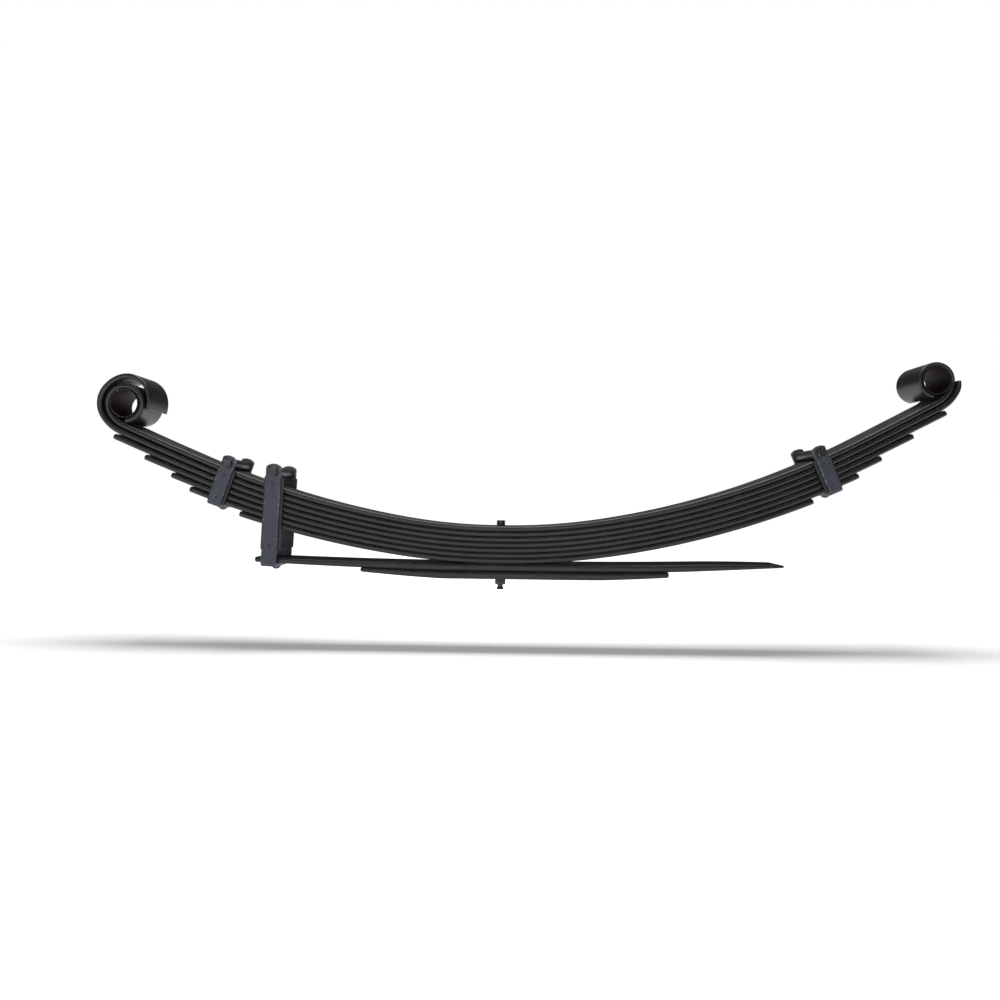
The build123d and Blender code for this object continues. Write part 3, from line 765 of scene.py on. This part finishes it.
def liner(name, width, span, near, matrix):
    """Liner plate with its two studs, joined into one mesh."""
    low, high = span
    side = -1 if near else 1
    half = width / 2 + LINER_OVERHANG
    corners = [(half, low), (half, high), (-half, high), (-half, low)]
    loop = []
    for i, (x, z) in enumerate(corners):
        cx = x - (LINER_CORNER if x > 0 else -LINER_CORNER)
        cz = z + (LINER_CORNER if z == low else -LINER_CORNER)
        for k in range(5):
            a = radians(-90 + 90 * i + 22.5 * k)
            loop.append((cx + LINER_CORNER * cos(a), cz + LINER_CORNER * sin(a)))
    points, faces = plate(loop, [], LINER_THICKNESS, LINER_EDGE)
    shift = Matrix.Translation((0, side * (STRAP_INSIDE - LINER_THICKNESS) / 2, 0))
    points = transformed(points, shift @ Matrix.Rotation(pi / 2, 4, "X"))
    profile = rounded([(0, -0.6), (STUD_RADIUS, -0.6), (STUD_RADIUS, STUD_REACH), (0, STUD_REACH)], 0.4)
    for z in stud_heights(low, high):
        stud_points, stud_faces = lathe(profile, 32)
        turn = Matrix.Rotation(-side * pi / 2, 4, "X")
        place = Matrix.Translation((0, side * STRAP_INSIDE / 2, z)) @ turn
        faces += [tuple(len(points) + n for n in f) for f in stud_faces]
        points += transformed(stud_points, place)
    return mesh_object(name, transformed(points, matrix), faces)


def hex_radius(flats, angle):
    """Radius of a hexagon with softened corners at an angle."""
    across = flats / 2 / cos((angle + pi / 6) % (pi / 3) - pi / 6)
    return min(across, flats / sqrt(3) * HEX_CORNER)


def hexagon(flats, height, crowned_below, bore, dish=0.0, turns=96):
    """Hexagonal head or nut standing on z = 0, its corners cut by a cone, with a bore or a dish."""
    face = flats * HEX_FACE
    loops = []

    def ring(radius_at, z_at):
        loop = []
        for j in range(turns):
            a = 2 * pi * j / turns
            r = radius_at(a)
            loop.append((r * cos(a), r * sin(a), z_at(r)))
        loops.append(loop)

    def hexed(a):
        return hex_radius(flats, a)

    def inset(a):
        return max(face, hexed(a) - HEX_EDGE)

    def cone(r):
        return max(0.0, (r - face) * HEX_SLOPE)

    inner = bore if bore else AXIS_HOLE
    ring(lambda a: inner, lambda r: 0.0)
    if crowned_below:
        ring(lambda a: face, lambda r: 0.0)
        ring(inset, cone)
        ring(hexed, lambda r: cone(r) + HEX_EDGE)
    else:
        ring(lambda a: hexed(a) - HEX_RIM, lambda r: 0.0)
        ring(hexed, lambda r: HEX_RIM)
    ring(hexed, lambda r: height / 2)
    ring(hexed, lambda r: height - cone(r) - HEX_EDGE)
    ring(inset, lambda r: height - cone(r))
    ring(lambda a: face * HEX_CORNER, lambda r: height)
    if dish:
        ring(lambda a: face * HEX_DISH[0], lambda r: height)
        ring(lambda a: face * HEX_DISH[1], lambda r: height - dish)
    if bore:
        ring(lambda a: bore + HEX_BORE_EDGE, lambda r: height)
        ring(lambda a: bore, lambda r: height - HEX_BORE_EDGE)
    else:
        ring(lambda a: AXIS_HOLE, lambda r: height - dish)
    faces = band(loops)
    count = len(loops)
    last = (count - 1) * turns
    if bore:
        faces += [(last + j, j, (j + 1) % turns, last + (j + 1) % turns) for j in range(turns)]
    else:
        faces.append(tuple(range(turns)))
        faces.append(tuple(last + j for j in range(turns)))
    return [p for loop in loops for p in loop], faces


def threaded(radius, start, end, pitch, turns=48):
    """Threaded rod about Z from start to end, with a chamfered far end."""
    depth = 0.54 * pitch
    steps = ceil((end - start) / pitch * 8)
    loops = []
    for i in range(steps + 1):
        z = start + (end - start) * i / steps
        loop = []
        for j in range(turns):
            a = 2 * pi * j / turns
            phase = (z / pitch - j / turns) % 1.0
            r = radius - depth * abs(2 * phase - 1)
            r = min(r, radius - 0.8 + (end - z))
            loop.append((r * cos(a), r * sin(a), z))
        loops.append(loop)
    faces = band(loops)
    faces.append(tuple(range(turns)))
    faces.append(tuple(steps * turns + j for j in range(turns)))
    return [p for loop in loops for p in loop], faces


def add(points, faces, more, place):
    """Append a second shape, placed by a matrix, to a point and face list."""
    new_points, new_faces = more
    faces += [tuple(len(points) + n for n in f) for f in new_faces]
    points += transformed(new_points, place)


def clip_bolt(name, bolt_height, twist, matrix):
    """Hexagon bolt: head on the near side, threaded end on the far side."""
    face = STRAP_INSIDE / 2 + STRAP_THICKNESS
    outward = Matrix.Rotation(pi / 2, 4, "X") @ Matrix.Rotation(twist, 4, "Z")
    inward = Matrix.Rotation(-pi / 2, 4, "X")
    start = -face - WASHER_THICKNESS
    points, faces = [], []
    add(points, faces, hexagon(HEAD_FLATS, HEAD_HEIGHT, False, 0, HEX_DISH_DEPTH),
        Matrix.Translation((0, start, bolt_height)) @ outward)
    plain = [(0, start - 1), (BOLT_RADIUS, start - 1), (BOLT_RADIUS, face - 6), (0, face - 6)]
    axis = Matrix.Translation((0, 0, bolt_height)) @ inward
    add(points, faces, lathe(rounded(plain, 0.3), 48), axis)
    add(points, faces, threaded(BOLT_RADIUS, face - 7, face + NUT_HEIGHT + BOLT_PROUD, BOLT_PITCH), axis)
    return mesh_object(name, transformed(points, matrix), faces)


def clip_washer(name, bolt_height, matrix):
    """Washer under the bolt head."""
    bore, outer, thick = BOLT_RADIUS + 0.2, WASHER_RADIUS, WASHER_THICKNESS
    profile = [(bore, thick / 2), (bore, 0), (outer, 0), (outer, thick), (bore, thick), (bore, thick / 2)]
    points, faces = lathe(rounded(profile, 0.35)[:-1])
    face = STRAP_INSIDE / 2 + STRAP_THICKNESS
    place = Matrix.Translation((0, -face, bolt_height)) @ Matrix.Rotation(pi / 2, 4, "X")
    return mesh_object(name, transformed(transformed(points, place), matrix), faces)


def clip_nut(name, bolt_height, twist, matrix):
    """Nut on the far ear."""
    points, faces = hexagon(HEAD_FLATS, NUT_HEIGHT, False, BOLT_RADIUS)
    face = STRAP_INSIDE / 2 + STRAP_THICKNESS
    turn = Matrix.Rotation(-pi / 2, 4, "X") @ Matrix.Rotation(twist, 4, "Z")
    place = Matrix.Translation((0, face, bolt_height)) @ turn
    return mesh_object(name, transformed(transformed(points, place), matrix), faces)


def clip_spacer(name, bolt_height, matrix):
    """Spacer tube between the two ears."""
    half, bore = STRAP_INSIDE / 2, BOLT_RADIUS + 0.3
    outer = SPACER_RADIUS + SPACER_TO_LEAF - SPACER_CLEAR
    profile = [(bore, 0), (bore, -half), (outer, -half), (outer, half), (bore, half), (bore, 0)]
    points, faces = lathe(rounded(profile, 0.5)[:-1])
    place = Matrix.Translation((0, 0, bolt_height)) @ Matrix.Rotation(pi / 2, 4, "X")
    return mesh_object(name, transformed(transformed(points, place), matrix), faces)


def rivet(name, grip, matrix):
    """Rivet through the strap floor: hammered round head below, shank above."""
    low = -STRAP_THICKNESS
    radius = (RIVET_HEAD_RADIUS ** 2 + RIVET_HEAD_HEIGHT ** 2) / (2 * RIVET_HEAD_HEIGHT)
    reach = asin(min(1.0, RIVET_HEAD_RADIUS / radius))
    centre = low - RIVET_HEAD_HEIGHT + radius
    turns = [reach * i / RIVET_STEPS for i in range(RIVET_STEPS)]
    profile = [(radius * sin(a), centre - radius * cos(a)) for a in turns]
    profile += [(RIVET_HEAD_RADIUS, low - 0.5), (RIVET_HEAD_RADIUS - 0.4, low), (RIVET_RADIUS, low)]
    profile += [(RIVET_RADIUS, grip - 0.4), (RIVET_RADIUS - 0.4, grip), (0, grip)]
    points, faces = lathe(profile, 48)
    return mesh_object(name, transformed(points, matrix), faces)


def clip(name, body, width, height, liner_low, grip, matrix, mats):
    """All the pieces of one clip, whose bolt is at a height above the strap's floor."""
    span = (liner_low, height - SPACER_RADIUS - LINER_BELOW_SPACER)
    twist = radians(BOLT_TWIST[name])
    liners = [liner(name + end, width, span, near, matrix)
              for end, near in (("_liner_near_plate", True), ("_liner_far_plate", False))]
    pieces = {
        "strap": (strap(name + "_strap_steel", width, height, span, matrix), "clip_paint", "clip"),
        "liner_near": (liners[0], "liner_plastic", "liner"),
        "liner_far": (liners[1], "liner_plastic", "liner"),
        "bolt": (clip_bolt(name + "_bolt_steel", height, twist, matrix), "fastener_black", "fastener"),
        "washer": (clip_washer(name + "_washer_steel", height, matrix), "fastener_black", "fastener"),
        "spacer": (clip_spacer(name + "_spacer_tube", height, matrix), "clip_paint", "spacer"),
        "nut": (clip_nut(name + "_nut_steel", height, twist * 2, matrix), "fastener_black", "fastener"),
        "rivet": (rivet(name + "_rivet_steel", grip, matrix), "fastener_black", "clip"),
    }
    for part, (piece, slot, look) in pieces.items():
        dress(piece, body, name + "_" + part, mats[look])


def pack_clip(name, front, mats):
    """Clip riveted under the sixth leaf of one arm."""
    centre, radius, angle = station(arm_arcs(6, front), FRONT_CLIP_AT if front else REAR_CLIP_AT)
    foot = polar(centre, radius + CLIP_GAP, angle)
    height = pack_height(foot, angle, front) + SPACER_TO_LEAF + SPACER_RADIUS
    clip(name, "front_arm" if front else "rear_arm", CLIP_WIDTH, height, PACK_LINER_LOW,
         LEAF_THICKNESS, clip_matrix(foot, angle, front), mats)


def helper_clip(mats):
    """Tall clip riveted under the front end of the long overload leaf."""
    x = -HELPER_CLIP_AT
    half = HELPER_CLIP_WIDTH / 2
    angle = atan2(long_bottom(x - half) - long_bottom(x + half), HELPER_CLIP_WIDTH)
    foot = (HELPER_CLIP_AT, long_bottom(x) - HELPER_CLIP_GAP)
    grip = tapered(x, LONG_ENDS, LONG_TAPERS)
    clip("helper_clip", "leaf_pack", HELPER_CLIP_WIDTH, HELPER_BOLT_HEIGHT, HELPER_LINER_LOW, grip,
         clip_matrix(foot, angle, True), mats)


# ---------------------------------------------------------------- eyes and centre bolt

def eye_sleeve(node, body, eye, front, material):
    """Steel sleeve of an eye, with rounded rims."""
    half = SLEEVE_LENGTH / 2
    profile = rounded([(SLEEVE_BORE, 0), (SLEEVE_BORE, -half), (SLEEVE_OUTER, -half),
                       (SLEEVE_OUTER, half), (SLEEVE_BORE, half), (SLEEVE_BORE, 0)], 0.6)
    points, faces = lathe(profile[:-1], 96)
    side = -1 if front else 1
    place = Matrix.Translation((side * eye[0], 0, eye[1])) @ Matrix.Rotation(pi / 2, 4, "X")
    piece = mesh_object(node + "_tube", transformed(points, place), faces)
    dress(piece, body, node, material)


def centre_bolt(material):
    """Round-headed centre bolt with a necked and flared end."""
    low = short_bottom(0) - CENTRE_NUT_HEIGHT
    end = low - CENTRE_END_LENGTH
    head = CENTRE_HEAD_HEIGHT
    profile = [(0, head), (CENTRE_HEAD_RADIUS, head), (CENTRE_HEAD_RADIUS, 0), (CENTRE_SHANK_RADIUS, 0),
               (CENTRE_SHANK_RADIUS, low - 0.6), (CENTRE_NECK_RADIUS, low - 1.8),
               (CENTRE_NECK_RADIUS, end + 4.2), (CENTRE_FLARE_RADIUS, end + 1.4),
               (CENTRE_FLARE_RADIUS - 0.5, end), (0, end)]
    piece = mesh_object("centre_bolt_steel", *lathe(rounded(profile, 1.0), 64))
    dress(piece, "leaf_pack", "centre_bolt", material)


def centre_nut(material):
    """Nut under the overload leaves."""
    points, faces = hexagon(CENTRE_NUT_FLATS, CENTRE_NUT_HEIGHT, True, CENTRE_SHANK_RADIUS)
    place = Matrix.Translation((0, 0, short_bottom(0) - CENTRE_NUT_HEIGHT))
    piece = mesh_object("centre_nut_steel", transformed(points, place), faces)
    dress(piece, "leaf_pack", "centre_nut", material)


# ---------------------------------------------------------------- materials

class Graph:
    """Small helper that adds nodes to a material and links them."""

    def __init__(self, name):
        self.material = bpy.data.materials.new(name)
        self.material.use_nodes = True
        self.nodes = self.material.node_tree.nodes
        self.links = self.material.node_tree.links
        self.shader = self.nodes["Principled BSDF"]

    def put(self, socket, value):
        """Link a socket, or set its value."""
        if isinstance(value, bpy.types.NodeSocket):
            self.links.new(value, socket)
        else:
            socket.default_value = value

    def attribute(self, name, output):
        """An attribute of the mesh."""
        node = self.nodes.new("ShaderNodeAttribute")
        node.attribute_name = name
        return node.outputs[output]

    def stretched(self, vector, scale):
        """Coordinates scaled along each axis."""
        node = self.nodes.new("ShaderNodeVectorMath")
        node.operation = "MULTIPLY"
        self.put(node.inputs[0], vector)
        node.inputs[1].default_value = scale
        return node.outputs[0]

    def noise(self, vector, scale, detail=2.0, roughness=0.5):
        """Noise between 0 and 1."""
        node = self.nodes.new("ShaderNodeTexNoise")
        self.put(node.inputs["Vector"], vector)
        node.inputs["Scale"].default_value = scale
        node.inputs["Detail"].default_value = detail
        node.inputs["Roughness"].default_value = roughness
        return node.outputs["Fac"]

    def ramp(self, value, low, high, start=0.0, end=1.0):
        """Value mapped smoothly from low..high to start..end."""
        node = self.nodes.new("ShaderNodeMapRange")
        node.interpolation_type = "SMOOTHSTEP"
        self.put(node.inputs["Value"], value)
        for name, number in (("From Min", low), ("From Max", high), ("To Min", start), ("To Max", end)):
            node.inputs[name].default_value = number
        return node.outputs["Result"]

    def math(self, operation, a, b):
        """One arithmetic step."""
        node = self.nodes.new("ShaderNodeMath")
        node.operation = operation
        self.put(node.inputs[0], a)
        self.put(node.inputs[1], b)
        return node.outputs[0]

    def mix(self, factor, a, b):
        """Colour a where factor is 0, b where it is 1."""
        node = self.nodes.new("ShaderNodeMix")
        node.data_type = "RGBA"
        self.put(node.inputs["Factor"], factor)
        self.put(node.inputs["A"], a)
        self.put(node.inputs["B"], b)
        return node.outputs["Result"]

    def bump(self, height, strength, distance, normal=None):
        """Surface relief of a distance in metres."""
        node = self.nodes.new("ShaderNodeBump")
        node.inputs["Strength"].default_value = strength
        node.inputs["Distance"].default_value = distance
        self.put(node.inputs["Height"], height)
        if normal is not None:
            self.put(node.inputs["Normal"], normal)
        return node.outputs["Normal"]

    def upward(self):
        """How far the surface faces up, 0 to 1."""
        node = self.nodes.new("ShaderNodeNewGeometry")
        parts = self.nodes.new("ShaderNodeSeparateXYZ")
        self.links.new(node.outputs["Normal"], parts.inputs[0])
        return self.ramp(parts.outputs["Z"], 0.25, 1.0)


def painted(name, base, second, roughness, chip_level, dust_and_sheen, peel, streaks, specular):
    """Satin paint: mottling, orange peel, pits, edge chips down to grey primer, and pale grey on top faces,
    part dust and part painted sheen.
    """
    g = Graph(name)
    flow = g.attribute("flow", "Vector")
    wear = g.attribute("wear", "Fac")
    along = g.stretched(flow, streaks)
    broad = g.noise(flow, 9.0, 3.0)
    fine = g.noise(along, 260.0, 3.0, 0.6)
    grit = g.noise(flow, 1500.0, 2.0, 0.6)
    colour = g.mix(g.ramp(broad, 0.3, 0.7), (*base, 1), (*second, 1))
    paler = (base[0] * 1.9, base[1] * 1.85, base[2] * 1.8, 1)
    colour = g.mix(g.ramp(fine, 0.45, 0.8, 0.0, 0.45), colour, paler)
    patches = g.ramp(g.noise(flow, 45.0, 4.0, 0.65), 0.3, 0.75, 0.35, 1.0)
    # Upward faces paled towards grey: part dust, part painted sheen of light on the tops.
    top_dust_and_sheen = g.math("MULTIPLY", g.math("MULTIPLY", g.upward(), patches), dust_and_sheen)
    colour = g.mix(top_dust_and_sheen, colour, DUST_AND_SHEEN_COLOUR)
    spots = g.noise(flow, 330.0, 3.0, 0.7)
    rubbed = g.math("MULTIPLY", wear, g.ramp(g.noise(flow, 70.0, 2.0), 0.35, 0.65, 0.25, 1.0))
    chip = g.ramp(g.math("ADD", spots, g.math("MULTIPLY", rubbed, 0.3)), chip_level, chip_level + 0.035)
    colour = g.mix(chip, colour, PRIMER)
    worn = g.ramp(g.math("MULTIPLY", wear, fine), 0.3, 0.75, 0.0, 0.5)
    colour = g.mix(worn, colour, (base[0] * 3.2, base[1] * 3.2, base[2] * 3.1, 1))
    g.put(g.shader.inputs["Base Color"], colour)
    rough = g.math("ADD", g.ramp(fine, 0.2, 0.8, roughness - 0.07, roughness + 0.09),
                   g.math("MULTIPLY", top_dust_and_sheen, 0.35))
    rough = g.math("ADD", rough, g.math("MULTIPLY", chip, 0.12))
    g.put(g.shader.inputs["Roughness"], rough)
    relief = g.bump(g.noise(flow, 420.0, 2.0, 0.5), 0.35 * peel, 0.00012)
    relief = g.bump(grit, 0.25 * peel, 0.00003, relief)
    relief = g.bump(g.noise(along, 55.0, 2.0), 0.25 * peel, 0.0004, relief)
    relief = g.bump(g.math("SUBTRACT", 1.0, chip), 0.5, 0.0001, relief)
    g.put(g.shader.inputs["Normal"], relief)
    g.shader.inputs["Specular IOR Level"].default_value = specular
    return g.material


def materials():
    """Every look of the spring."""
    return {look: painted(*values) for look, values in PAINTS.items()}


def pale_material():
    """Matt white of the floor, with a very faint tone variation and a glow that grows outwards."""
    g = Graph("studio_white")
    place = g.nodes.new("ShaderNodeTexCoord").outputs["Object"]
    tone = g.ramp(g.noise(place, 1.5, 3.0), 0.3, 0.7)
    g.put(g.shader.inputs["Base Color"], g.mix(tone, (0.90, 0.90, 0.90, 1), (0.93, 0.93, 0.93, 1)))
    g.shader.inputs["Roughness"].default_value = 0.9
    g.shader.inputs["Emission Color"].default_value = (1, 1, 1, 1)
    distance = g.nodes.new("ShaderNodeVectorMath")
    distance.operation = "LENGTH"
    g.put(distance.inputs[0], g.stretched(place, (GLOW_SQUEEZE, 1.0, 0.0)))
    g.put(g.shader.inputs["Emission Strength"],
          g.ramp(distance.outputs["Value"], GLOW_FROM, GLOW_FULL, FLOOR_GLOW, FAR_GLOW))
    return g.material


# ---------------------------------------------------------------- studio

def studio_floor():
    """Flat white floor."""
    level = cad_low.z - FLOOR_DROP * MM
    rows = [STAGE_NEAR + (STAGE_FAR - STAGE_NEAR) * i / STAGE_ROWS for i in range(STAGE_ROWS + 1)]
    points = [(side * STAGE_HALF_WIDTH, y, level) for y in rows for side in (-1, 1)]
    faces = [(2 * i, 2 * i + 1, 2 * i + 3, 2 * i + 2) for i in range(STAGE_ROWS)]
    mesh = bpy.data.meshes.new("studio_floor")
    mesh.from_pydata(points, [], faces)
    mesh.materials.append(pale_material())
    floor = bpy.data.objects.new("studio_floor", mesh)
    bpy.context.scene.collection.objects.link(floor)


def area_light(name, place, target, width, depth, power):
    """Soft rectangular light aimed at a target."""
    data = bpy.data.lights.new(name, "AREA")
    data.shape = "RECTANGLE"
    data.size = width
    data.size_y = depth
    data.energy = power
    light = bpy.data.objects.new(name, data)
    light.location = place
    light.rotation_euler = (Vector(target) - Vector(place)).to_track_quat("-Z", "Y").to_euler()
    bpy.context.scene.collection.objects.link(light)


def studio_lights():
    """Broad overhead light, a weaker one from the camera side, and a dim room that looks white."""
    for row in LIGHTS:
        area_light(*row)
    world = bpy.data.worlds.new("studio_room")
    world.use_nodes = True
    tree = world.node_tree
    backdrop = tree.nodes["Background"]
    backdrop.inputs["Color"].default_value = (1, 1, 1, 1)
    rays = tree.nodes.new("ShaderNodeLightPath")
    level = tree.nodes.new("ShaderNodeMapRange")
    tree.links.new(rays.outputs["Is Camera Ray"], level.inputs["Value"])
    level.inputs["To Min"].default_value = ROOM_LIGHT
    level.inputs["To Max"].default_value = 1.0
    tree.links.new(level.outputs["Result"], backdrop.inputs["Strength"])
    bpy.context.scene.world = world
    bpy.context.scene.view_settings.view_transform = "Standard"


def studio_camera():
    """Camera level with the pack, looking square at its side, rolled slightly."""
    data = bpy.data.cameras.new("camera")
    data.sensor_width = SENSOR
    data.lens = SENSOR / 2 * NEAR_PLANE_DISTANCE / NEAR_PLANE_HALF_WIDTH
    data.clip_start = CLIP_START
    camera = bpy.data.objects.new("camera", data)
    right = Vector((cos(CAMERA_ROLL), 0, sin(CAMERA_ROLL)))
    up = Vector((-sin(CAMERA_ROLL), 0, cos(CAMERA_ROLL)))
    back = Vector((0, -1, 0))
    turn = Matrix((right, up, back)).transposed().to_4x4()
    camera.matrix_world = Matrix.Translation(CAMERA_PLACE) @ turn
    bpy.context.scene.collection.objects.link(camera)
    bpy.context.scene.camera = camera


# ---------------------------------------------------------------- assembly

looks = materials()
for leaf_number in range(1, len(LEAF_NAMES) + 1):
    for is_front in (True, False):
        pack_leaf(leaf_number, is_front, looks["leaf"])
helper_leaf("helper_leaf_long", long_top, long_bottom, LONG_ENDS, LONG_ROUND, 13.1, looks["helper"])
helper_leaf("helper_leaf_short", short_top, short_bottom, SHORT_ENDS, SHORT_ROUND, 15.4, looks["helper"])
pack_clip("front_clip", True, looks)
pack_clip("rear_clip", False, looks)
helper_clip(looks)
eye_sleeve("front_eye_sleeve", "front_arm", FRONT_EYE, True, looks["sleeve"])
eye_sleeve("rear_eye_sleeve", "rear_arm", REAR_EYE, False, looks["sleeve"])
centre_bolt(looks["fastener"])
centre_nut(looks["fastener"])
studio_floor()
studio_lights()
studio_camera()
